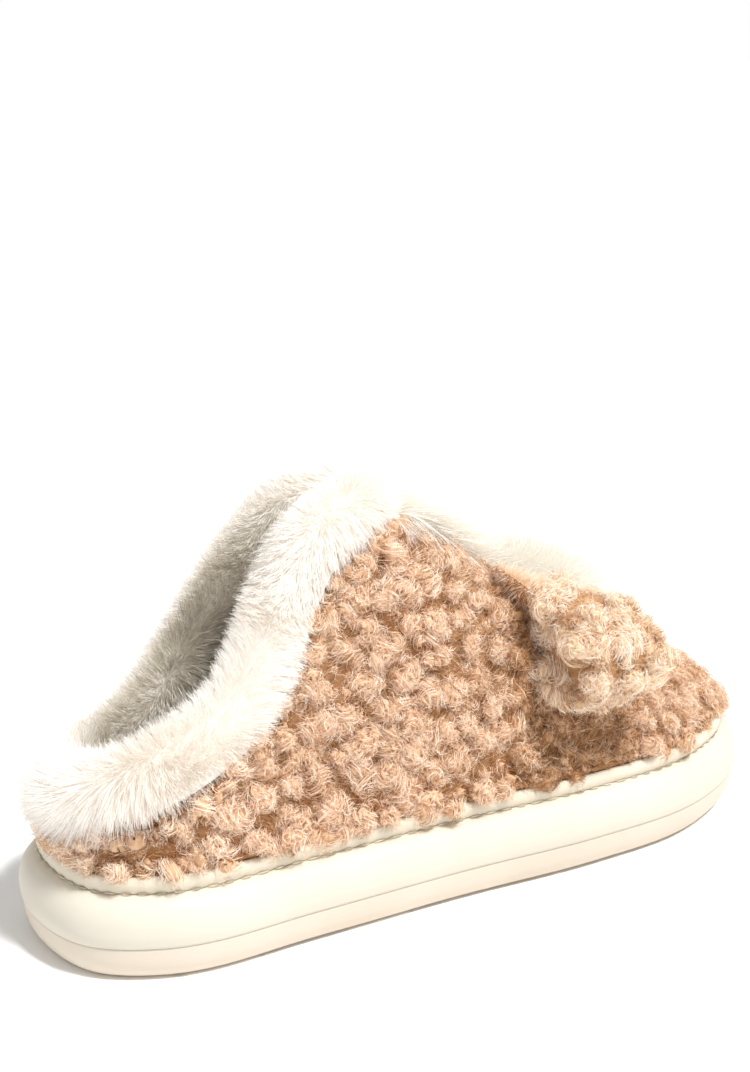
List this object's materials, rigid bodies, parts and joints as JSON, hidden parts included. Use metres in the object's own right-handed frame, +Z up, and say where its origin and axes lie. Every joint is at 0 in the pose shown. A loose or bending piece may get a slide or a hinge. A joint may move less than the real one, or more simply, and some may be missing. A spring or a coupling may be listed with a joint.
{
  "type": "fluffy house slipper",
  "caption": "Backless platform house slipper: thick rounded sole, curly shearling upper, plush collar and lining, soft bow on the vamp",
  "frame": {"origin": "middle of the footprint's box, on the ground under the sole", "axes": "+Z up, the toe points along -Y and the heel along +Y, the wearer's right is -X"},
  "size_m": [0.1228, 0.266, 0.132],
  "materials": {
    "cream_eva": "satin moulded foam",
    "cream_outsole": "satin moulded foam",
    "wrap_fabric": "smooth wrapped strip",
    "thread": "twisted thread",
    "tan_shearling": "curly bouclé pile",
    "tan_short_pile": "short brushed pile",
    "white_plush": "long soft pile",
    "foam": "open-cell foam",
    "board": "fibre board",
    "fibre_fill": "loose fibre"
  },
  "bodies": {
    "slipper": {"outsole": "cream_outsole", "midsole": "cream_eva", "platform_filler": "foam", "insole_board": "board", "platform_wrap": "wrap_fabric", "welt_thread": "thread", "footbed_foam": "foam", "footbed_plush": "white_plush", "vamp_outer": "tan_shearling", "heel_band_outer": "tan_shearling", "centre_band": "white_plush", "vamp_foam": "foam", "toe_puff": "board", "heel_counter": "board", "vamp_lining": "white_plush", "heel_lining": "white_plush", "collar_plush": "white_plush", "collar_core": "foam", "bow_patch": "foam", "knot_plush": "white_plush", "knot_core": "fibre_fill"},
    "right_loop": {"right_loop_outer": "tan_shearling", "right_loop_lining": "tan_short_pile", "right_loop_filling": "fibre_fill"},
    "left_loop": {"left_loop_outer": "tan_shearling", "left_loop_lining": "tan_short_pile", "left_loop_filling": "fibre_fill"}
  },
  "joints": [
    {"name": "right_loop_lift", "type": "hinge", "parent": "slipper", "child": "right_loop", "pos_m": [-0.018, -0.0325, 0.0865], "axis": [0, 0.8499, 0.5269], "range_deg": [0, 55]},
    {"name": "left_loop_lift", "type": "hinge", "parent": "slipper", "child": "left_loop", "pos_m": [0.018, -0.0325, 0.0865], "axis": [0, -0.8499, -0.5269], "range_deg": [0, 55]}
  ]
}
